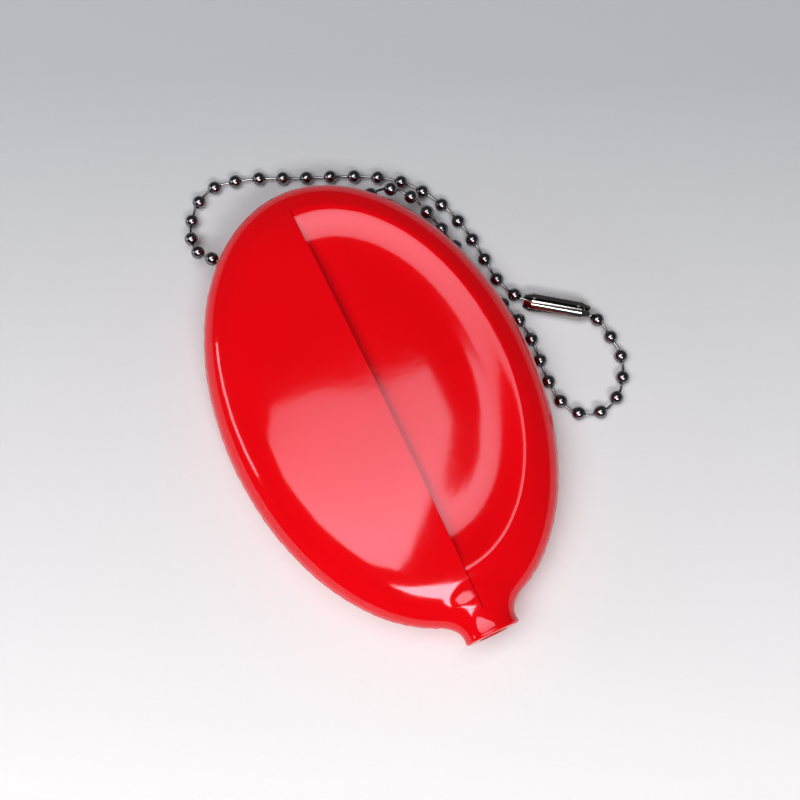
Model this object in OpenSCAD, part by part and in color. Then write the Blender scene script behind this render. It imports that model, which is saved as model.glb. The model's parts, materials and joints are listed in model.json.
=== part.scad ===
// Squeeze coin purse: an oval hollow moulding with a lengthwise slit, and a ball chain
// that passes through two holes in its rim and closes in a rolled connector.
// Origin: centre of the oval, on the surface that the purse lies on. +Y points to the
// chain end, -Y to the neck, +Z up. Millimetres.

/* [Purse body] */
// Length of the oval, without the neck
body_length = 80; // [70:1:95]
// Width of the oval
body_width = 53; // [46:1:62]
// Height of the parting line, where the oval is widest
parting_height = 7.5; // [6.5:0.1:9]
// Height of the top above the parting line
crown_height = 8.5; // [7.5:0.1:10]
// Depth of the underside's full curve below the parting line
keel_depth = 8; // [7.6:0.1:9]
// How square the section's shoulders are, 2 is a plain ellipse
shoulder_power = 2.6; // [2:0.1:3.2]
// Wall thickness of the moulding
wall = 2; // [1.6:0.1:2.4]

/* [Neck] */
// Outer diameter of the neck tube
neck_diameter = 9.6; // [8.6:0.1:10.6]
// Bore of the neck tube
neck_bore = 5; // [4:0.1:6]
// Diameter of the wide end of the funnel that leads into the bore
funnel_diameter = 6; // [6:0.1:6.2]
// Length of that funnel
funnel_length = 3.5; // [2.5:0.1:4]
// How far the neck stands out past the oval's tip
neck_reach = 3; // [2:0.1:5]
// Width of the flare where the neck leaves the oval
flare_width = 14.5; // [13:0.1:17]
// Height of that flare
flare_height = 9; // [8:0.1:9.4]
// Distance from the oval's tip back to the widest place of the flare
flare_inset = 2; // [1.5:0.1:3]

/* [Slit and lips] */
// Gap left by the slit and by the bending lines of the lips
cut_gap = 0.3; // [0.2:0.05:0.4]
// Distance from the oval's side to the line where a lip bends
rim_width = 4; // [3.5:0.1:6]
// Distance from the oval's side to the lip's curved edge
lip_edge_inset = 3.2; // [2.8:0.1:3.4]
// Distance from the oval's tips to the ends of the lips
lip_end_inset = 4.8; // [4.4:0.1:7]
// Distance from the oval's tip to the slit's end at the neck
slit_neck_inset = 1.1; // [0.6:0.1:2.5]
// How far the right lip is pushed in at the middle of the slit
dent_depth = 4; // [2.6:0.1:4.4]
// Width of the pushed-in bowl, from the slit to its edge
dent_width = 22.4; // [18:0.1:22.5]
// Length of the pushed-in bowl along the slit
dent_length = 68; // [60:0.5:68.5]
// Distance from the middle of the oval to the bowl's middle, towards the chain end
dent_shift = 1; // [0:0.1:1.2]

/* [Chain holes] */
// Diameter of the two holes in the rim
chain_hole_diameter = 3.4; // [3:0.1:4]
// Height of the holes' centres
chain_hole_height = 7; // [6.6:0.1:7.4]
// Angle of each hole's axis away from the purse's long axis
chain_hole_angle = 43.9; // [40:0.1:48]

/* [Ball chain] */
// Diameter of a bead
bead_diameter = 2.4; // [2.1:0.05:2.5]
// Sheet thickness of a bead
bead_wall = 0.18; // [0.12:0.01:0.22]
// Diameter of the two holes in a bead
bead_hole = 0.68; // [0.6:0.01:0.7]
// Diameter of a link's rod
rod_diameter = 0.32; // [0.26:0.01:0.36]
// Diameter of a link's ball heads
head_diameter = 0.72; // [0.7:0.01:0.76]
// Distance between the two ball heads of a link
link_length = 2.9; // [2.85:0.01:2.95]

/* [Connector] */
// Length of the connector
connector_length = 11.5; // [11:0.1:12]
// Outer diameter of the connector
connector_diameter = 3.6; // [3.5:0.05:3.8]
// Sheet thickness of the connector
connector_wall = 0.25; // [0.2:0.01:0.3]
// Diameter of the openings in the connector's ends
connector_mouth = 2; // [1.8:0.05:2.1]
// Length of the taper at each end
connector_taper = 1.4; // [1:0.1:2]
// Width of the lengthwise seam
seam_width = 0.5; // [0.45:0.05:0.7]

/* [Hidden] */
vinyl = "red";
steel = "dimgray";
dark_steel = "slategray";
$fn = 48;
// Sides of the oval, steps of its section's quarter curves and cells of a lip
oval_sides = 96;
section_steps = 16;
cells_across = 16;
cells_along = 34;
// The lips' last cells stop this far short of the points of their outline
point_trim = 0.14;
// How sharply the pushed-in bowl turns at its edge, and how softly it runs out there
bowl_power = 5;
bowl_softness = 1.25;

half_length = body_length / 2;
half_width = body_width / 2;
hinge_x = half_width - rim_width;
lip_half_length = half_length - lip_end_inset;
lip_half_width = half_width - lip_edge_inset;

// Outer and inner skins: half length, half width, rise above and fall below the parting line
outer_skin = [half_length, half_width, crown_height, keel_depth];
inner_skin = [half_length - wall, half_width - wall, crown_height - wall, keel_depth - wall];

function radius_share(skin, x, y) = sqrt(pow(x / skin[1], 2) + pow(y / skin[0], 2));
function skin_share(skin, x, y) = sqrt(max(0, 1 - pow(min(1, radius_share(skin, x, y)), shoulder_power)));
function skin_top(skin, x, y) = parting_height + skin[2] * skin_share(skin, x, y);

// Depth of the pushed-in bowl at a place, nothing outside its oval edge
function bowl_radius_share(x, y) =
  sqrt(pow(x / dent_width, 2) + pow(2 * (y - dent_shift) / dent_length, 2));
function bowl_share(x, y) = max(0, 1 - pow(bowl_radius_share(x, y), bowl_power));
function dent(x, y) = dent_depth * pow(bowl_share(x, y), bowl_softness);

module skin_solid(skin) {
  arc = [for (k = [0 : section_steps]) 90 * k / section_steps];
  outline = concat(
    [for (t = arc) [pow(sin(t), 2 / shoulder_power) * skin[0], -skin[3] * cos(t)]],
    [for (k = [section_steps - 1 : -1 : 0]) let (t = arc[k])
      [pow(sin(t), 2 / shoulder_power) * skin[0], skin[2] * cos(t)]]);
  translate([0, 0, parting_height])
    scale([skin[1] / skin[0], 1, 1])
      rotate_extrude($fn = oval_sides)
        polygon(outline);
}

// The opening that the two lips fill, grown or shrunk by a gap
module lip_window(gap) {
  tall = 2 * crown_height;
  intersection() {
    translate([0, 0, parting_height])
      scale([(lip_half_width + gap) / (lip_half_length + gap), 1, 1])
        cylinder(r = lip_half_length + gap, h = tall, $fn = oval_sides);
    translate([-hinge_x - gap, -body_length, 0])
      cube([2 * (hinge_x + gap), 2 * body_length, 3 * crown_height]);
  }
}

module along_neck(y) {
  translate([0, y, parting_height])
    rotate([90, 0, 0])
      children();
}

// Tube with a concave flare, flattened to the height of the moulding
module neck_outside() {
  fillet = (flare_width - neck_diameter) / 2;
  flare_reach = lip_end_inset - flare_inset + fillet;
  along_neck(-lip_half_length)
    cylinder(d = neck_diameter, h = lip_end_inset + neck_reach);
  along_neck(-lip_half_length)
    scale([1, flare_height / flare_width, 1])
      rotate_extrude()
        difference() {
          square([flare_width / 2, flare_reach]);
          translate([flare_width / 2, flare_reach])
            circle(r = fillet);
        }
}

// Holes for the chain, square to the outline near the top end
function hole_way(side) = [side * sin(chain_hole_angle), cos(chain_hole_angle), 0];
function outline_point(way) = let (
    east = way[0] * half_width,
    north = way[1] * half_length,
    reach = sqrt(east * east + north * north))
  [east * half_width / reach, north * half_length / reach, 0];
function hole_place(side) = outline_point(hole_way(side)) + [0, 0, chain_hole_height];

module chain_hole(side) {
  depth = 3 * wall;
  translate(hole_place(side))
    rotate([-90, 0, -side * chain_hole_angle])
      translate([0, 0, -depth])
        cylinder(d = chain_hole_diameter, h = 2 * depth);
}

module purse_body() {
  slit_length = half_length - slit_neck_inset - lip_half_length;
  bore_start = half_length - wall;
  color(vinyl)
    difference() {
      union() {
        skin_solid(outer_skin);
        neck_outside();
      }
      skin_solid(inner_skin);
      lip_window(cut_gap / 2);
      along_neck(-bore_start)
        cylinder(d = neck_bore, h = wall + 2 * neck_reach);
      along_neck(funnel_length - bore_start)
        cylinder(d1 = max(funnel_diameter, neck_bore), d2 = neck_bore, h = funnel_length);
      translate([-cut_gap / 2, slit_neck_inset - half_length, parting_height])
        cube([cut_gap, slit_length + cut_gap, 2 * crown_height]);
      for (side = [-1, 1])
        chain_hole(side);
      translate([-body_length, -body_length, -2 * keel_depth])
        cube([2 * body_length, 2 * body_length, 2 * keel_depth]);
    }
}

// One lip as a grid of points from the slit to its outer edge, on the right side
function lip_y(k) = -(lip_half_length - cut_gap - point_trim) * cos(180 * k / cells_along);
function lip_edge_x(y) = min(hinge_x - cut_gap / 2,
  (lip_half_width - cut_gap / 2) * sqrt(1 - pow(y / (lip_half_length - cut_gap / 2), 2)));
function lip_x(y, i) = cut_gap / 2 + (lip_edge_x(y) - cut_gap / 2) * i / cells_across;

module lip(dent_scale) {
  row = cells_across + 1;
  count = row * (cells_along + 1);
  places = [for (k = [0 : cells_along], i = [0 : cells_across])
    [lip_x(lip_y(k), i), lip_y(k)]];
  top = [for (p = places)
    [p[0], p[1], skin_top(outer_skin, p[0], p[1]) - dent_scale * dent(p[0], p[1])]];
  under = [for (p = places)
    [p[0], p[1], skin_top(inner_skin, p[0], p[1]) - dent_scale * dent(p[0], p[1])]];
  cells = [for (k = [0 : cells_along - 1], i = [0 : cells_across - 1]) k * row + i];
  top_faces = [for (c = cells) each [[c, c + row, c + 1], [c + 1, c + row, c + row + 1]]];
  under_faces = [for (f = top_faces) [f[0] + count, f[2] + count, f[1] + count]];
  border = concat(
    [for (i = [0 : cells_across - 1]) i],
    [for (k = [0 : cells_along - 1]) k * row + cells_across],
    [for (i = [cells_across : -1 : 1]) cells_along * row + i],
    [for (k = [cells_along : -1 : 1]) k * row]);
  sides = [for (n = [0 : len(border) - 1])
    let (a = border[n], b = border[(n + 1) % len(border)])
      each [[a, b, b + count], [a, b + count, a + count]]];
  polyhedron(concat(top, under), concat(top_faces, under_faces, sides));
}

module left_lip() {
  color(vinyl)
    mirror([1, 0, 0])
      lip(0);
}

module right_lip() {
  color(vinyl)
    lip(1);
}

// Chain routes: places that the strands pass through, bead centres at both ends.
// inner run: from the bead in the right hole, over the floor, to the bead in the left hole
inner_run_route = [[14.2, 33.7, 7], [10.6, 32.1, 7.1], [7.7, 29.7, 6.9], [4.4, 28.1, 6.2],
  [0.7, 27.9, 5.4], [-3, 28.4, 5.2], [-6.6, 29.5, 5.7], [-9.9, 30.8, 6.4], [-12.6, 32.3, 7]];
left_curl_route = [[-15.2, 35, 6.2], [-16.9, 38.2, 4], [-16.3, 43, 1.8], [-13, 47.2, 1.3],
  [-9.2, 48.7, 1.2], [-5.5, 48.2, 1.2]];
back_and_side_route = [[-1.5, 46.9, 1.2], [6.2, 43.4, 1.2], [14, 40, 1.2], [21, 35.5, 1.2],
  [25.7, 28.3, 1.2], [27.6, 20.3, 1.2], [28.25, 12.1, 1.2], [29.7, 8.25, 1.4]];
loop_curl_route = [[40.6, -1.9, 1.4], [41.4, -9, 1.2], [38.4, -14.8, 1.2], [33.6, -16.7, 1.2],
  [30.2, -15.3, 1.2]];
loop_return_route = [[28.4, -12.1, 1.2], [28.1, -8.5, 1.2], [28.8, -0.4, 1.2], [28.4, 3.7, 1.2],
  [27.1, 7.6, 1.2]];
inner_strand_route = [[24.6, 12.9, 1.2], [24.6, 16.8, 1.3], [24.2, 20.6, 1.5], [23.3, 24.3, 2.5],
  [22.2, 27.7, 3.7], [20.7, 31, 4.9], [17.9, 33.4, 6.2]];
// Places of the two bead centres inside the connector's ends
connector_start = [32.1, 5.4, connector_diameter / 2];
connector_way = [0.807, -0.59, 0];
// Beads on each strand
inner_run_count = 9;
left_curl_count = 7;
back_run_count = 6;
side_run_count = 8;
loop_curl_count = 7;
loop_return_count = 6;
inner_strand_count = 7;

function spline_place(p, i, t) = let (
    a = p[max(0, i - 1)],
    b = p[i],
    c = p[i + 1],
    d = p[min(len(p) - 1, i + 2)])
  (2 * b + (c - a) * t + (2 * a - 5 * b + 4 * c - d) * t * t
    + (3 * b - a - 3 * c + d) * t * t * t) / 2;
route_steps = 12;
function smooth_route(p) = concat(
  [for (i = [0 : len(p) - 2], k = [0 : route_steps - 1]) spline_place(p, i, k / route_steps)],
  [p[len(p) - 1]]);
function way_marks(path) = [for (i = 0, s = 0; i < len(path);
  s = s + (i + 1 < len(path) ? norm(path[i + 1] - path[i]) : 0), i = i + 1) [s, i]];
function at_mark(path, mark) = let (i = min(floor(mark), len(path) - 2))
  path[i] + (path[i + 1] - path[i]) * (mark - i);
// Bead centres spaced evenly along a route
function bead_places(route, count) = let (
    path = smooth_route(route),
    marks = way_marks(path),
    total = marks[len(marks) - 1][0])
  [for (k = [0 : count - 1]) at_mark(path, lookup(total * k / (count - 1), marks))];

// Both ends of the connector hold their bead this far inside
end_bead_inset = 1.9;
connector_end = connector_start + connector_way * (connector_length - 2 * end_bead_inset);

strand = bead_places(inner_strand_route, inner_strand_count);
inner_run = bead_places(inner_run_route, inner_run_count);
main_string = concat(
  strand,
  inner_run,
  bead_places(left_curl_route, left_curl_count),
  bead_places(back_and_side_route, back_run_count + side_run_count),
  [connector_start]);
loop_string = concat(
  [connector_end],
  bead_places(loop_curl_route, loop_curl_count),
  bead_places(loop_return_route, loop_return_count),
  [strand[0]]);

inner_first = inner_strand_count;
curl_first = inner_first + inner_run_count;
back_first = curl_first + left_curl_count;
side_first = back_first + back_run_count;
end_first = side_first + side_run_count;
return_first = 1 + loop_curl_count;
open_link = return_first + loop_return_count - 1;

function unit(v) = v / norm(v);
function bead_way(string, i) =
  unit(string[min(len(string) - 1, i + 1)] - string[max(0, i - 1)]);
// Centre of the hole in a bead, on the side towards the next or the last bead
function hole_centre(string, i, direction) =
  string[i] + direction * bead_way(string, i) * (bead_diameter - bead_wall) / 2;

module turned_to(way) {
  rotate([0, acos(way[2]), atan2(way[1], way[0])])
    children();
}

module bead() {
  difference() {
    sphere(d = bead_diameter);
    sphere(d = bead_diameter - 2 * bead_wall);
    cylinder(d = bead_hole, h = 2 * bead_diameter, center = true);
  }
}

module link() {
  cylinder(d = rod_diameter, h = link_length, center = true, $fn = 24);
  for (end = [-1, 1])
    translate([0, 0, end * link_length / 2])
      sphere(d = head_diameter, $fn = 32);
}

module beads(string, first, count) {
  for (i = [first : first + count - 1])
    translate(string[i])
      turned_to(bead_way(string, i))
        bead();
}

// Link i joins bead i to bead i + 1, through a hole of each
module links(string, first, count) {
  for (i = [first : first + count - 1])
    let (
      a = hole_centre(string, i, 1),
      b = hole_centre(string, i + 1, -1))
      translate((a + b) / 2)
        turned_to(unit(b - a))
          link();
}

module inner_run_beads() {
  color(steel) beads(main_string, inner_first, inner_run_count);
}

module inner_run_links() {
  color(dark_steel) links(main_string, inner_first, inner_run_count - 1);
}

module left_curl_beads() {
  color(steel) beads(main_string, curl_first, left_curl_count);
}

module left_curl_links() {
  color(dark_steel) links(main_string, curl_first - 1, left_curl_count);
}

module back_run_beads() {
  color(steel) beads(main_string, back_first, back_run_count);
}

module back_run_links() {
  color(dark_steel) links(main_string, back_first - 1, back_run_count);
}

module side_run_beads() {
  color(steel) beads(main_string, side_first, side_run_count);
}

module side_run_links() {
  color(dark_steel) links(main_string, side_first - 1, side_run_count);
}

module connector_link() {
  color(dark_steel) links(main_string, end_first - 1, 1);
}

module connector_beads() {
  color(steel) {
    beads(main_string, end_first, 1);
    beads(loop_string, 0, 1);
  }
}

module loop_curl_beads() {
  color(steel) beads(loop_string, 1, loop_curl_count);
}

module loop_curl_links() {
  color(dark_steel) links(loop_string, 0, loop_curl_count);
}

module loop_return_beads() {
  color(steel) beads(loop_string, return_first, loop_return_count);
}

// The last link of the return is held by its own bead only: there the chain is open
module loop_return_links() {
  last = open_link;
  color(dark_steel) {
    links(loop_string, return_first - 1, loop_return_count);
    translate(loop_string[last])
      turned_to(bead_way(loop_string, last))
        translate([0, 0, bead_diameter / 2 - head_diameter - bead_wall + link_length / 2])
          link();
  }
}

module inner_strand_beads() {
  color(steel) beads(main_string, 0, inner_strand_count);
}

module inner_strand_links() {
  color(dark_steel) links(main_string, 0, inner_strand_count);
}

// Rolled tube with necked ends, open along a seam on top
module connector() {
  radius = connector_diameter / 2;
  neck = connector_mouth / 2;
  half = connector_length / 2;
  barrel = half - connector_taper;
  color("silver")
    translate((connector_start + connector_end) / 2)
      rotate([0, 0, atan2(connector_way[1], connector_way[0])])
        difference() {
          rotate([0, 90, 0])
            rotate_extrude()
              polygon([
                [neck, -half], [neck + connector_wall, -half],
                [radius, -barrel], [radius, barrel],
                [neck + connector_wall, half], [neck, half],
                [neck, half - connector_wall],
                [radius - connector_wall, barrel - connector_wall],
                [radius - connector_wall, connector_wall - barrel],
                [neck, connector_wall - half]]);
          translate([-connector_length, -seam_width / 2, 0])
            cube([2 * connector_length, seam_width, connector_diameter]);
        }
}

purse_body();
left_lip();
right_lip();
inner_run_beads();
inner_run_links();
left_curl_beads();
left_curl_links();
back_run_beads();
back_run_links();
side_run_beads();
side_run_links();
connector();
connector_beads();
connector_link();
loop_curl_beads();
loop_curl_links();
loop_return_beads();
loop_return_links();
inner_strand_beads();
inner_strand_links();
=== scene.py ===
# %% [markdown]
# # A squeeze coin purse with its ball chain
# This lesson dresses a measured model of a red vinyl coin purse. The measured pieces, the frame, come
# in first and stay where they are. The soft moulding is then modelled again as a finer mesh. The chain
# keeps its measured beads and connector, its links are copied a little thicker, and all get their metals.

# %% Load the frame
import json
import math
import bpy
import numpy as np
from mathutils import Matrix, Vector


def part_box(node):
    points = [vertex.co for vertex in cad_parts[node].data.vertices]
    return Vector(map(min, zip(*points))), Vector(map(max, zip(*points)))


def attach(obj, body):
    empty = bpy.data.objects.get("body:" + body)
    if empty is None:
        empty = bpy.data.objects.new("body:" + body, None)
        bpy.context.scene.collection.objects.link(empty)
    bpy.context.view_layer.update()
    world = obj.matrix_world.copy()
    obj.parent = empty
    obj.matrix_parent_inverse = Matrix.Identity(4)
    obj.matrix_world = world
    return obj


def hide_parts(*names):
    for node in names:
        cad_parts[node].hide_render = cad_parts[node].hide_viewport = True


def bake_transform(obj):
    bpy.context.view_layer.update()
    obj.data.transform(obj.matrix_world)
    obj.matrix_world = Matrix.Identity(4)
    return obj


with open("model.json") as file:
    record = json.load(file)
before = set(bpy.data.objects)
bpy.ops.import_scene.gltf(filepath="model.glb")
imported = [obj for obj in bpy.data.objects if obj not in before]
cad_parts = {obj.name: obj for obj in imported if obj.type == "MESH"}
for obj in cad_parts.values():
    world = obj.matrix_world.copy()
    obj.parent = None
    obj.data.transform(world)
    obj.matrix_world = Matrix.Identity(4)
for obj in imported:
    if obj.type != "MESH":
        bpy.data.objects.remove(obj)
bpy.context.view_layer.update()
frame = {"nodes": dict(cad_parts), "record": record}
nodes = frame["nodes"]

# %% [markdown]
# Everything on the purse is measured in millimetres on a bench, so the shapes below are worked out in
# millimetres and turned into metres at the last moment. The oval's size is read from the frame.

# %% Driving sizes from the frame
MM = 0.001
body_low, body_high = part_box("purse_body")
lip_low, lip_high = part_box("left_lip")
half_width = body_high.x / MM
half_length = body_high.y / MM
neck_end = body_low.y / MM
crown_z = lip_high.z / MM
parting_z = 7.5
crown_rise = crown_z - parting_z
keel_fall = 8.0
wall = 2.0
shoulder_power = 2.6
print("oval", round(half_width, 2), round(half_length, 2), "neck end", round(neck_end, 2))
print("top", round(crown_z, 2))

# %% [markdown]
# ## The camera
# The picture looks almost straight down, with the purse turned a little and the lens a short telephoto.
# A camera is easiest to place by its angles and its distance from the point that it looks at.

# %% Camera
def direction(azimuth, elevation):
    across = math.cos(math.radians(elevation))
    turn = math.radians(azimuth)
    return Vector((across * math.sin(turn), -across * math.cos(turn), math.sin(math.radians(elevation))))


view_azimuth = -25.384
view_elevation = 76.0
view_distance = 0.26
view_target = Vector((0.00302, -0.00169, 0.00794))
towards_camera = direction(view_azimuth, view_elevation)

camera_data = bpy.data.cameras.new("camera")
camera_data.lens = 70.45
camera_data.sensor_width = 36
camera = bpy.data.objects.new("camera", camera_data)
bpy.context.scene.collection.objects.link(camera)
camera.location = view_target + view_distance * towards_camera
camera.rotation_euler = towards_camera.to_track_quat("Z", "Y").to_euler()
bpy.context.scene.camera = camera
print("camera at", [round(c, 4) for c in camera.location])

# %% [markdown]
# ## Shader maths
# A material is a graph of nodes. Written as plain sums it can be read, so one small class wraps a
# socket and turns each + - * / into a Math node.

# %% The wrapped socket and the finish that owns the nodes
class Wire:
    def __init__(self, finish, socket):
        self.finish = finish
        self.socket = socket

    def __add__(self, other):
        return self.finish.math("ADD", self, other)

    def __sub__(self, other):
        return self.finish.math("SUBTRACT", self, other)

    def __rsub__(self, other):
        return self.finish.math("SUBTRACT", other, self)

    def __mul__(self, other):
        return self.finish.math("MULTIPLY", self, other)

    __radd__ = __add__
    __rmul__ = __mul__


class Finish:
    def __init__(self, name):
        self.material = bpy.data.materials.new(name)
        self.material.use_nodes = True
        self.tree = self.material.node_tree
        self.tree.nodes.clear()
        self.output = self.tree.nodes.new("ShaderNodeOutputMaterial")

    def put(self, socket, value):
        if isinstance(value, Wire):
            self.tree.links.new(value.socket, socket)
        else:
            socket.default_value = value

    def node(self, kind, settings=None, inputs=None, output=0):
        made = self.tree.nodes.new("ShaderNode" + kind)
        for key, value in (settings or {}).items():
            setattr(made, key, value)
        for key, value in (inputs or {}).items():
            self.put(made.inputs[key], value)
        return Wire(self, made.outputs[output])

    def math(self, operation, a, b):
        return self.node("Math", {"operation": operation}, {0: a, 1: b})

    def surface(self, shader):
        self.tree.links.new(shader.socket, self.output.inputs["Surface"])
        return self.material


def linear(red, green, blue):
    def one(level):
        share = level / 255
        return share / 12.92 if share <= 0.04045 else ((share + 0.055) / 1.055) ** 2.4
    return (one(red), one(green), one(blue), 1)


def place_of(finish):
    return finish.node("TexCoord", output="Object")


def grain(finish, scale, detail=3.0, roughness=0.5):
    return finish.node("TexNoise", None, {
        "Vector": place_of(finish), "Scale": scale, "Detail": detail, "Roughness": roughness})


def tinted(finish, mask, low, high):
    return finish.node("Mix", {"data_type": "RGBA"}, {"Factor": mask, 6: low, 7: high}, output=2)


# %% [markdown]
# ## The table and the light
# The purse lies on a pale, finely textured table. The table's sheet is far larger than the purse, so
# its edge stays out of the main view, though a low view shows it. Its colour is painted paler towards the
# front, a painted fall-off of the light.

# %% Table top
def select_only(piece):
    bpy.ops.object.select_all(action="DESELECT")
    piece.select_set(True)
    bpy.context.view_layer.objects.active = piece


def bake_place(piece):
    select_only(piece)
    bpy.ops.object.transform_apply(location=True, rotation=True, scale=True)


table_size = 3.0
table_drop = 0.00002
# Strength of the painted fall-off of light across the table's colour.
painted_falloff = 8.0
table_mottle = 0.08
bpy.ops.object.select_all(action="DESELECT")
bpy.ops.mesh.primitive_plane_add(size=table_size, location=(0, 0, -table_drop))
table = bpy.context.object
table.name = "table"
bake_place(table)


def table_finish():
    finish = Finish("table")
    turned = finish.node("Mapping", None, {
        "Vector": place_of(finish), "Rotation": (0, 0, math.radians(-view_azimuth))})
    along = finish.node("SeparateXYZ", None, {"Vector": turned}, output=1)
    mottle = grain(finish, 2600, 2)
    # The colour is painted paler towards the front as a painted fall-off of light; the mottle is the
    # table's own grain.
    painted_falloff_and_mottle = finish.node("Clamp", None, {"Value": 0.5 - along * painted_falloff + (mottle - 0.5) * table_mottle})
    colour = tinted(finish, painted_falloff_and_mottle, linear(190, 192, 197), linear(249, 246, 247))
    bump = finish.node("Bump", None, {"Strength": 0.25, "Distance": 0.0001, "Height": mottle})
    shader = finish.node("BsdfPrincipled", None, {
        "Base Color": colour, "Roughness": 0.75, "Specular IOR Level": 0.15, "Normal": bump})
    return finish.surface(shader)


table.data.materials.append(table_finish())
print("table:", table_size, "m square")

# %% [markdown]
# The reflections on the moulding say where the lights stood: a wide soft panel overhead to the left,
# a smaller hard one in front, and a strip at the left. The first two are drawn by their corners on a
# plane overhead and the strip stands upright, because a lamp's rectangle wouldn't reflect the same way.

# %% Light panels
def light_finish(name, strength, fade):
    finish = Finish(name)
    along = finish.node("SeparateXYZ", None, {"Vector": place_of(finish)}, output=1)
    share = finish.node("Clamp", None, {"Value": 0.85 - along * fade})
    glow = finish.node("Emission", None, {"Color": share, "Strength": strength})
    return finish.surface(glow)


def panel(name, corners, strength, fade=0.0):
    mesh = bpy.data.meshes.new(name)
    mesh.from_pydata(corners, [], [tuple(range(len(corners)))])
    sheet = bpy.data.objects.new(name, mesh)
    bpy.context.scene.collection.objects.link(sheet)
    mesh.materials.append(light_finish(name, strength, fade))
    sheet.visible_camera = False


def overhead(slopes, height):
    return [(u * height, v * height, height) for u, v in slopes]


def side_strip(near_end, far_end, half_rise, distance):
    low = Vector((0, 0, -half_rise))
    return [(Vector(near_end) + low) * distance, (Vector(far_end) + low) * distance,
            (Vector(far_end) - low) * distance, (Vector(near_end) - low) * distance]


panel_height = 0.9
soft_outline = [
    (0.08, 0.24), (-0.09, 0.28), (-0.51, 0.35), (-0.78, 0.30), (-0.86, 0.13), (-0.77, -0.10),
    (-0.57, -0.35), (-0.35, -0.40), (-0.19, -0.30), (0.01, -0.13), (0.30, 0.115), (0.30, 0.25)]
hard_outline = [
    (-0.62, -0.62), (-0.50, -0.78), (-0.20, -0.98), (0.12, -1.05), (0.12, -0.70), (-0.15, -0.62)]
strip_corners = side_strip((-0.93, 0.13, 0.36), (-0.76, 0.62, 0.21), 0.035, 0.6)
panel("soft_panel", overhead(soft_outline, panel_height), 5.6, 1.3)
panel("hard_panel", overhead(hard_outline, panel_height), 17.0)
panel("left_strip", strip_corners, 9.0)
print("light panels: 3")

world = bpy.data.worlds.new("room")
world.use_nodes = True
bpy.context.scene.world = world
world.node_tree.nodes["Background"].inputs["Color"].default_value = (0.9, 0.93, 1.0, 1)
world.node_tree.nodes["Background"].inputs["Strength"].default_value = 0.07
bpy.context.scene.view_settings.view_transform = "Standard"

# %% [markdown]
# ## The shape of the moulding
# The purse is moulded in one piece: an oval with full shoulders that runs out into a short neck, a
# little flattened and drawn in at the waist. One formula gives its skin: it is below zero inside and
# above zero outside, and a smooth minimum melts the neck into the oval as the mould does.

# %% Formula of the skin
def oval(x, y, z, length, width, rise, fall):
    share = np.hypot(x / width, y / length) + 1e-9
    height = z - parting_z
    reach = np.where(height > 0, rise, fall)
    level = share ** shoulder_power + (height / reach) ** 2 - 1
    slope_out = shoulder_power * share ** (shoulder_power - 2)
    slope = np.sqrt((slope_out * x / width ** 2) ** 2 + (slope_out * y / length ** 2) ** 2
                    + (2 * height / reach ** 2) ** 2)
    return level / np.maximum(slope, 1e-3)


def melt(a, b, width):
    overlap = np.maximum(width - np.abs(a - b), 0) / width
    return np.minimum(a, b) - overlap ** 2 * width / 4


neck_radius = 4.8
neck_half_height = 3.9
neck_waist = 0.4
waist_y = -40.0
waist_reach = 3.0
neck_sink_start = -38.0
neck_sink = 0.12
edge_round = 0.45
neck_scale = 0.85
melt_width = 3.2
search_reach = 30.0
search_rise = 12.0
slit_front = -(half_length - 1.1)


def neck_tube(x, y, z):
    sink = neck_sink * np.maximum(0, y - neck_sink_start) ** 2
    lip = np.clip((neck_end + edge_round - y) / edge_round, 0, 1)
    waist = neck_waist * np.maximum(0, 1 - ((y - waist_y) / waist_reach) ** 2)
    radius = neck_radius - waist - sink - edge_round * (1 - np.sqrt(1 - lip ** 2))
    taller = neck_radius / neck_half_height
    return (np.hypot(x, (z - parting_z) * taller) - radius) * neck_scale


def outer_skin(x, y, z):
    body = oval(x, y, z, half_length, half_width, crown_rise, keel_fall)
    return melt(body, neck_tube(x, y, z), melt_width)


def inner_skin(x, y, z):
    return oval(x, y, z, half_length - wall, half_width - wall, crown_rise - wall, keel_fall - wall)


def solve(inside, low, high, steps=46):
    for _ in range(steps):
        middle = (low + high) / 2
        below = inside(middle) < 0
        low = np.where(below, middle, low)
        high = np.where(below, high, middle)
    return (low + high) / 2


def top_of(skin, x, y):
    lowest = np.full_like(x, parting_z)
    return solve(lambda z: skin(x, y, z), lowest, lowest + search_rise)


print("top at the middle", round(float(top_of(outer_skin, np.zeros(1), np.zeros(1))[0]), 3))

# %% [markdown]
# A sphere has the same build as the moulding, rings from one pole to the other, so a finely divided
# UV sphere is laid along the purse and its rings are moved to their places along the length. Each
# point then slides out from the axis until it meets the skin.

# %% Ring places and the shaped sphere
end_rings = 4
neck_step = 0.25
neck_join = -34.0
oval_ring_count = 151
cavity_ring_count = 81
shell_segments = 224
cavity_segments = 96


def outer_rings():
    # The last neck ring stays clear of the oval's first one, so no two rings share a place.
    neck = np.arange(neck_end, neck_join - neck_step / 2, neck_step)
    first = math.asin(neck_join / half_length)
    oval_part = half_length * np.sin(np.linspace(first, math.pi / 2, oval_ring_count))
    return np.concatenate([np.full(end_rings, neck_end), neck, oval_part])


def inner_rings():
    return (half_length - wall) * np.sin(np.linspace(-math.pi / 2, math.pi / 2, cavity_ring_count))


def read_points(piece):
    points = np.empty(len(piece.data.vertices) * 3)
    piece.data.vertices.foreach_get("co", points)
    return points.reshape(-1, 3)


def write_points(piece, points):
    piece.data.vertices.foreach_set("co", points.ravel())
    piece.data.update()


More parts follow.
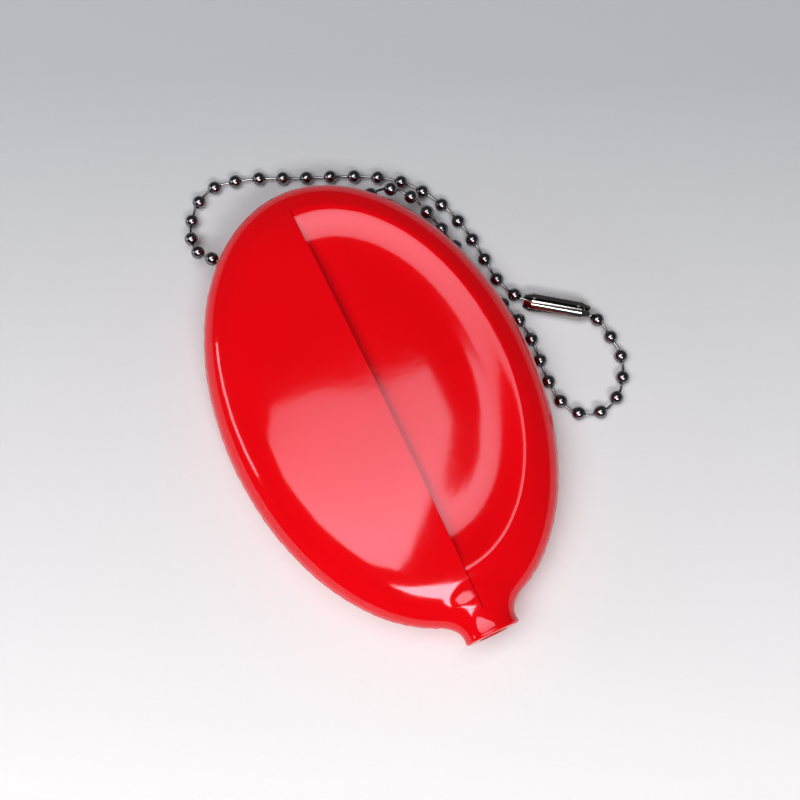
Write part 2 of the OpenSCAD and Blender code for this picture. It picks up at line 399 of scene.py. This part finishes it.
def skin_sphere(name, skin, rings, segments, flat_rings):
    bpy.ops.object.select_all(action="DESELECT")
    bpy.ops.mesh.primitive_uv_sphere_add(segments=segments, ring_count=len(rings) - 1, radius=1)
    piece = bpy.context.object
    piece.name = name
    unit = read_points(piece)
    ring = np.rint(np.arccos(np.clip(-unit[:, 2], -1, 1)) * (len(rings) - 1) / math.pi).astype(int)
    turn = np.arctan2(unit[:, 1], -unit[:, 0])
    y = rings[ring]
    zero = np.zeros_like(y)
    side = solve(lambda r: skin(r, y, zero + parting_z), zero, zero + search_reach)
    rise = solve(lambda r: skin(zero, y, parting_z + r), zero, zero + search_reach)
    way_x = side * np.cos(turn)
    way_z = rise * np.sin(turn)
    size = np.maximum(np.hypot(way_x, way_z), 1e-9)
    way_x, way_z = way_x / size, way_z / size
    reach = solve(lambda r: skin(r * way_x, y, parting_z + r * way_z), zero, zero + search_reach)
    reach = reach * np.where(ring < flat_rings, ring / max(flat_rings, 1), 1)
    reach[ring == len(rings) - 1] = 0
    if flat_rings == 0:
        reach[ring == 0] = 0
    shaped = np.stack([reach * way_x, y, np.maximum(parting_z + reach * way_z, 0)], axis=1)
    write_points(piece, shaped * MM)
    return piece


def edit(piece, *steps):
    select_only(piece)
    bpy.ops.object.mode_set(mode="EDIT")
    bpy.ops.mesh.select_all(action="SELECT")
    for step in steps:
        step()
    bpy.ops.object.mode_set(mode="OBJECT")


body_shell = skin_sphere("moulding", outer_skin, outer_rings(), shell_segments, end_rings)
edit(body_shell, lambda: bpy.ops.mesh.normals_make_consistent(inside=False))
cavity = skin_sphere("cavity", inner_skin, inner_rings(), cavity_segments, 0)
edit(cavity, lambda: bpy.ops.mesh.normals_make_consistent(inside=True))
select_only(body_shell)
cavity.select_set(True)
bpy.ops.object.join()
print("moulding and its hollow:", len(body_shell.data.polygons), "faces")

# %% [markdown]
# ## The window of the lips
# The slit parts the top into two lips. At rest they are one skin with the rest, so they are modelled
# to the same formula and meet the body along one outline: an oval cut off where the lips bend. The
# slit runs on into the neck as a fine cut. The rows of the lips give the outline's points, so that
# both sides of the seam have the same ones.

# %% Outline of the window
gap = 0.05
window_end_margin = 4.8
window_side_margin = 3.2
bend_margin = 4.0
cutter_height = 4.0
window_half_length = half_length - window_end_margin
window_half_width = half_width - window_side_margin
bend_x = half_width - bend_margin
lip_rows = 80
lip_columns = 60


def row_places():
    return window_half_length * np.sin(np.linspace(0, math.pi / 2, lip_rows + 1))


def edge_x(y):
    rest = np.sqrt(np.maximum(1 - (y / window_half_length) ** 2, 0))
    return np.clip(window_half_width * rest, gap, bend_x)


def window_outline():
    y = row_places()
    right_rear = [(float(edge_x(v)), float(v)) for v in y]
    right_front = [(float(edge_x(v)), -float(v)) for v in y[1:]]
    slot = [(gap, slit_front), (-gap, slit_front)]
    right = list(reversed(right_front)) + right_rear
    left = [(-x, v) for x, v in reversed(right)]
    return right + left + slot[::-1]


def prism(name, outline, low, high):
    mesh = bpy.data.meshes.new(name)
    mesh.from_pydata([(x * MM, y * MM, low * MM) for x, y in outline], [], [tuple(range(len(outline)))])
    piece = bpy.data.objects.new(name, mesh)
    bpy.context.scene.collection.objects.link(piece)
    edit(piece, lambda: bpy.ops.mesh.extrude_region_move(
        TRANSFORM_OT_translate={"value": (0, 0, (high - low) * MM)}))
    edit(piece, lambda: bpy.ops.mesh.normals_make_consistent(inside=False))
    return piece


window_cut = prism("window_cut", window_outline(), parting_z, crown_z + cutter_height)
print("window outline points:", len(window_outline()))

# %% [markdown]
# The neck's bore opens into the hollow through a short funnel, and two round holes near the other end
# let the chain through. Cutters are plain primitives: the bore is a cylinder whose inner end face is
# pulled in and widened.

# %% Cutters of the bore and the chain holes
bore_radius = 2.5
bore_end = -(half_length - wall)
funnel_length = 3.5
funnel_radius = 3.0
funnel_grow = funnel_radius / bore_radius
bore_overrun = 1.0
cutter_sides = 64


def select_faces(piece, keep):
    select_only(piece)
    bpy.ops.object.mode_set(mode="EDIT")
    bpy.ops.mesh.select_mode(type="FACE")
    bpy.ops.mesh.select_all(action="DESELECT")
    bpy.ops.object.mode_set(mode="OBJECT")
    for polygon in piece.data.polygons:
        polygon.select = bool(keep(polygon))


def round_cutter(name, radius, start, way, length):
    bpy.ops.object.select_all(action="DESELECT")
    bpy.ops.mesh.primitive_cylinder_add(
        vertices=cutter_sides, radius=radius * MM, depth=length * MM,
        location=(start + way * length / 2) * MM, rotation=way.to_track_quat("Z", "Y").to_euler())
    piece = bpy.context.object
    piece.name = name
    bake_place(piece)
    return piece


bore_start = neck_end - bore_overrun
bore_cut = round_cutter(
    "bore_cut", bore_radius, Vector((0, bore_start, parting_z)), Vector((0, 1, 0)), bore_end - bore_start)
select_faces(bore_cut, lambda face: face.normal.y > 0.9)
bpy.ops.object.mode_set(mode="EDIT")
bpy.ops.mesh.extrude_region_move(TRANSFORM_OT_translate={"value": (0, funnel_length * MM, 0)})
bpy.ops.transform.resize(value=(funnel_grow, 1, funnel_grow), center_override=(
    0, (bore_end + funnel_length) * MM, parting_z * MM))
bpy.ops.object.mode_set(mode="OBJECT")

hole_radius = 1.7
hole_z = 7.0
hole_angle = math.radians(43.9)
hole_cut_length = 12.0


def hole_way(side):
    return Vector((side * math.sin(hole_angle), math.cos(hole_angle), 0))


def hole_place(side):
    way = hole_way(side)
    east, north = way.x * half_width, way.y * half_length
    reach = math.hypot(east, north)
    return Vector((east * half_width / reach, north * half_length / reach, hole_z))


def hole_cut(side):
    way = hole_way(side)
    start = hole_place(side) - way * hole_cut_length / 2
    return round_cutter("hole_cut", hole_radius, start, way, hole_cut_length)


hole_cutters = [hole_cut(side) for side in (-1, 1)]
select_only(bore_cut)
for cutter in hole_cutters:
    cutter.select_set(True)
bpy.ops.object.join()
print("cutter:", len(bore_cut.data.polygons), "faces")

# %% [markdown]
# A Boolean cut gives clean edges only where both meshes are closed, so the cutters are closed solids too.

# %% Cut the window, the bore and the holes
def cut(piece, cutter):
    select_only(piece)
    modifier = piece.modifiers.new("cut", "BOOLEAN")
    modifier.operation = "DIFFERENCE"
    modifier.solver = "EXACT"
    modifier.object = cutter
    bpy.ops.object.modifier_apply(modifier=modifier.name)
    bpy.data.objects.remove(cutter)


cut(body_shell, bore_cut)
cut(body_shell, window_cut)
body_shell.name = "purse_skin"
print("purse skin:", len(body_shell.data.polygons), "faces")


# %% [markdown]
# ## Smooth light across the seams
# The lips and the body are separate meshes, and smooth shading would show every seam between them. The
# formula knows the true normal of the skin at each point, so those normals are written on the faces of
# the skin, and only the cut edges keep their own.

# %% Normals from the formula
slope_step = 0.02
sharp_angle = 32.0
skin_tolerance = 0.03
least_alignment = 0.8


def skin_normals(skin, points):
    step = slope_step
    x, y, z = points.T
    slope = np.stack([skin(x + step, y, z) - skin(x - step, y, z),
                      skin(x, y + step, z) - skin(x, y - step, z),
                      skin(x, y, z + step) - skin(x, y, z - step)], axis=1)
    return slope / np.maximum(np.linalg.norm(slope, axis=1, keepdims=True), 1e-9)


def corner_arrays(piece):
    mesh = piece.data
    corner_vertex = np.empty(len(mesh.loops), int)
    mesh.loops.foreach_get("vertex_index", corner_vertex)
    counts = np.empty(len(mesh.polygons), int)
    mesh.polygons.foreach_get("loop_total", counts)
    face_normal = np.empty(len(mesh.polygons) * 3)
    mesh.polygons.foreach_get("normal", face_normal)
    corner_face_normal = np.repeat(face_normal.reshape(-1, 3), counts, axis=0)
    own = np.empty(len(mesh.loops) * 3)
    mesh.corner_normals.foreach_get("vector", own)
    return corner_vertex, counts, corner_face_normal, own.reshape(-1, 3)


def shade_by(piece, skins):
    select_only(piece)
    bpy.ops.object.shade_smooth_by_angle(angle=math.radians(sharp_angle))
    corner_vertex, counts, face_normal, normals = corner_arrays(piece)
    points = read_points(piece)[corner_vertex] / MM
    starts = np.concatenate([[0], np.cumsum(counts)[:-1]])
    for skin_distance, skin_normal in skins:
        off = np.maximum.reduceat(np.abs(skin_distance(points)), starts)
        wanted = skin_normal(points)
        aligned = np.minimum.reduceat((wanted * face_normal).sum(1), starts)
        use = np.repeat((off < skin_tolerance) & (aligned > least_alignment), counts)
        normals[use] = wanted[use]
    piece.data.polygons.foreach_set("use_smooth", np.ones(len(piece.data.polygons), bool))
    piece.data.normals_split_custom_set(normals)
    piece.data.update()


def near(skin):
    return lambda points: skin(*points.T)


shade_by(body_shell, [
    (near(outer_skin), lambda p: skin_normals(outer_skin, p)),
    (near(inner_skin), lambda p: -skin_normals(inner_skin, p))])

# %% [markdown]
# ## The lips
# Each lip is a grid laid on the skin from the slit to the seam. The grid's copy, extruded down, becomes
# the inside. The right lip is pushed in by a shallow bowl, as a thumb leaves soft vinyl. On the real
# purse a lip bends where it joins the body; here each lip is made as a front and a rear half.

# %% Bowl of the right lip and the lip grid
dent_depth = 3.2
dent_width = 22.0
dent_half_length = 33.9
dent_shift = 1.0
bowl_power = 9.5
bowl_softness = 1.9
copy_drop = 0.5


def dent(x, y):
    share = np.hypot(x / dent_width, (y - dent_shift) / dent_half_length)
    return dent_depth * np.maximum(0, 1 - share ** bowl_power) ** bowl_softness


def lip_top(skin, x, y, push):
    return top_of(skin, x, y) - push * dent(np.abs(x), y)


def lip_half(name, side, end, push):
    bpy.ops.object.select_all(action="DESELECT")
    bpy.ops.mesh.primitive_grid_add(x_subdivisions=lip_columns, y_subdivisions=lip_rows, size=2)
    piece = bpy.context.object
    piece.name = name
    flat = read_points(piece)
    column = np.rint((flat[:, 0] + 1) / 2 * lip_columns)
    row = np.rint((flat[:, 1] + 1) / 2 * lip_rows).astype(int)
    y = end * row_places()[row]
    x = side * (gap + (edge_x(np.abs(y)) - gap) * column / lip_columns)
    write_points(piece, np.stack([x, y, lip_top(outer_skin, x, y, push)], axis=1) * MM)
    edit(piece, lambda: bpy.ops.mesh.extrude_region_move(
        TRANSFORM_OT_translate={"value": (0, 0, -copy_drop)}))
    points = read_points(piece)
    lowered = points[:, 2] < -copy_drop / 2
    below = points[lowered] / MM
    points[lowered, 2] = lip_top(inner_skin, below[:, 0], below[:, 1], push) * MM
    write_points(piece, points)
    edit(piece, lambda: bpy.ops.mesh.remove_doubles(threshold=0.000002),
         lambda: bpy.ops.mesh.normals_make_consistent(inside=False))
    shade_by(piece, lip_shading(push))
    return piece


def lip_shading(push):
    def level(skin):
        return lambda p: p[:, 2] - lip_top(skin, p[:, 0], p[:, 1], push)

    def normal(skin, way):
        def of(p):
            step = slope_step
            x, y = p[:, 0], p[:, 1]
            slope_x = (lip_top(skin, x + step, y, push) - lip_top(skin, x - step, y, push)) / (2 * step)
            slope_y = (lip_top(skin, x, y + step, push) - lip_top(skin, x, y - step, push)) / (2 * step)
            up = np.stack([-slope_x, -slope_y, np.ones_like(x)], axis=1)
            return way * up / np.linalg.norm(up, axis=1, keepdims=True)
        return of
    return [(level(outer_skin), normal(outer_skin, 1)), (level(inner_skin), normal(inner_skin, -1))]


bend_start = 26.0
lips = []
for lip_name, side, push in (("left_lip", -1, 0), ("right_lip", 1, 1)):
    for half_name, end in (("front", -1), ("rear", 1)):
        half = lip_half(f"{lip_name}_{half_name}", side, end, push)
        lips.append((half, lip_name, end))
        print(half.name, len(half.data.polygons), "faces")

# %% [markdown]
# ## Vinyl
# The moulding is soft red vinyl: a deep even red, a clear gloss with the faintest orange peel, and a
# little light that travels inside the wall. Colour and gloss drift slightly, and handling has left the
# gloss uneven.

# %% Vinyl finish
def vinyl_finish():
    finish = Finish("vinyl")
    cloud = grain(finish, 60, 2)
    handling = grain(finish, 420, 4, 0.6)
    peel = grain(finish, 900, 2)
    colour = tinted(finish, cloud, linear(226, 0, 8), linear(238, 0, 12))
    gloss = 0.05 + handling * 0.07
    bump = finish.node("Bump", None, {"Strength": 0.05, "Distance": 0.0001, "Height": peel})
    shader = finish.node("BsdfPrincipled", None, {
        "Base Color": colour, "Roughness": gloss, "IOR": 1.5, "Normal": bump,
        "Specular Tint": (1.0, 0.84, 1.0, 1),
        "Subsurface Weight": 0.12, "Subsurface Radius": (1.0, 0.15, 0.08), "Subsurface Scale": 0.0015})
    return finish.surface(shader)


vinyl = vinyl_finish()
body_shell.data.materials.clear()
body_shell.data.materials.append(vinyl)
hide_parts("purse_body")
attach(body_shell, "purse")
for half, lip_name, end in lips:
    half.data.materials.clear()
    half.data.materials.append(vinyl)
    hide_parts(lip_name)
    end * bend_start * MM
    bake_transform(half)
print("vinyl pieces:", 1 + len(lips))

# %% [markdown]
# ## The chain's metals
# The beads are pressed from thin steel sheet and plated almost black, the links are plain wire with
# upset heads, and the connector is rolled nickel-plated sheet. All are mirrors with fine scuffs, so it
# is roughness and a little bump that tell them apart.

# %% Metal finishes
def metal_finish(name, dark, bright, low_gloss, high_gloss, scale, bump_height):
    finish = Finish(name)
    tarnish = grain(finish, scale, 3)
    scuff = grain(finish, scale * 4, 5, 0.65)
    colour = tinted(finish, tarnish, dark, bright)
    gloss = low_gloss + scuff * (high_gloss - low_gloss)
    bump = finish.node("Bump", None, {"Strength": 0.15, "Distance": bump_height, "Height": scuff})
    shader = finish.node("BsdfPrincipled", None, {
        "Base Color": colour, "Metallic": 1.0, "Roughness": gloss, "Normal": bump})
    return finish.surface(shader)


bead_metal = metal_finish(
    "bead_plating", linear(122, 119, 123), linear(152, 149, 152), 0.02, 0.07, 700, 0.00002)
link_metal = metal_finish(
    "link_wire", linear(128, 126, 128), linear(160, 157, 158), 0.08, 0.2, 900, 0.00004)
connector_metal = metal_finish(
    "connector_plating", linear(158, 155, 151), linear(190, 186, 180), 0.03, 0.1, 500, 0.00002)

for name, node in nodes.items():
    if name.endswith("_beads"):
        metal = bead_metal
    elif name == "connector":
        metal = connector_metal
    else:
        continue
    node.data.materials.clear()
    node.data.materials.append(metal)

# %% [markdown]
# The measured links are as thin as the joints between the beads allow. On the real chain the wire
# looks a little thicker than that, so each run of links is copied, merged and fattened along its
# normals, heads included, and the copy stands for the measured run. It takes up some of the clearance
# in the beads, so at the end of a swing a link can touch the bead that holds it.

# %% Fattened links
link_growth = 0.07


def fatten_links(node):
    wires = node.copy()
    wires.data = node.data.copy()
    wires.name = node.name + "_wire"
    wires.parent = None
    for key in [key for key in wires.keys() if key.startswith("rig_")]:
        del wires[key]
    bpy.context.scene.collection.objects.link(wires)
    edit(wires, lambda: bpy.ops.mesh.remove_doubles(threshold=0.000001),
         lambda: bpy.ops.transform.shrink_fatten(value=link_growth * MM))
    select_only(wires)
    bpy.ops.object.shade_smooth_by_angle(angle=math.radians(40))
    wires.data.materials.clear()
    wires.data.materials.append(link_metal)
    return wires


record_bodies = frame["record"]["behaviour"]["bodies"]
for body_name, members in record_bodies.items():
    for name in members:
        if name.endswith("_links") or name.endswith("_link"):
            wires = fatten_links(nodes[name])
            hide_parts(name)
            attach(wires, body_name)
print("link runs fattened")

# %% [markdown]
# ## The parting line
# The mould's two halves leave a hair of flash round the widest line of the oval, with small nicks where
# it was trimmed. It is a fine bead of vinyl that stops at the chain holes and at the neck.

# %% Flash along the parting line
flash_radius = 0.1
flash_sink = 0.02
flash_stop_angle = 12.0
flash_points = 900
flash_clearance = 0.4
nick_depth = 0.45


def near_hole(x, y):
    holes = [hole_place(side) for side in (-1, 1)]
    return any(math.hypot(x - hole.x, y - hole.y) < hole_radius + flash_clearance for hole in holes)


def flash_paths():
    runs, run = [], []
    for k in range(flash_points + 1):
        angle = math.radians(-90 + flash_stop_angle + (360 - 2 * flash_stop_angle) * k / flash_points)
        x = (half_width - flash_sink) * math.cos(angle)
        y = (half_length - flash_sink) * math.sin(angle)
        nick = 0.6 * math.sin(29 * angle) * math.sin(47 * angle + 1) + 0.3 * math.sin(113 * angle)
        if near_hole(x, y):
            if run:
                runs.append(run)
            run = []
            continue
        run.append((x * MM, y * MM, parting_z * MM, 1 + nick_depth * nick))
    runs.append(run)
    return runs


flash_curve = bpy.data.curves.new("parting_flash", "CURVE")
flash_curve.dimensions = "3D"
flash_curve.bevel_depth = flash_radius * MM
flash_curve.bevel_resolution = 1
for run in flash_paths():
    spline = flash_curve.splines.new("POLY")
    spline.points.add(len(run) - 1)
    for point, (x, y, z, radius) in zip(spline.points, run):
        point.co = (x, y, z, 1)
        point.radius = radius
flash = bpy.data.objects.new("parting_flash", flash_curve)
bpy.context.scene.collection.objects.link(flash)
select_only(flash)
bpy.ops.object.convert(target="MESH")
flash = bpy.context.object
select_only(flash)
bpy.ops.object.shade_smooth()
flash.data.materials.clear()
flash.data.materials.append(vinyl)
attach(flash, "purse")
print("flash:", len(flash.data.polygons), "faces")
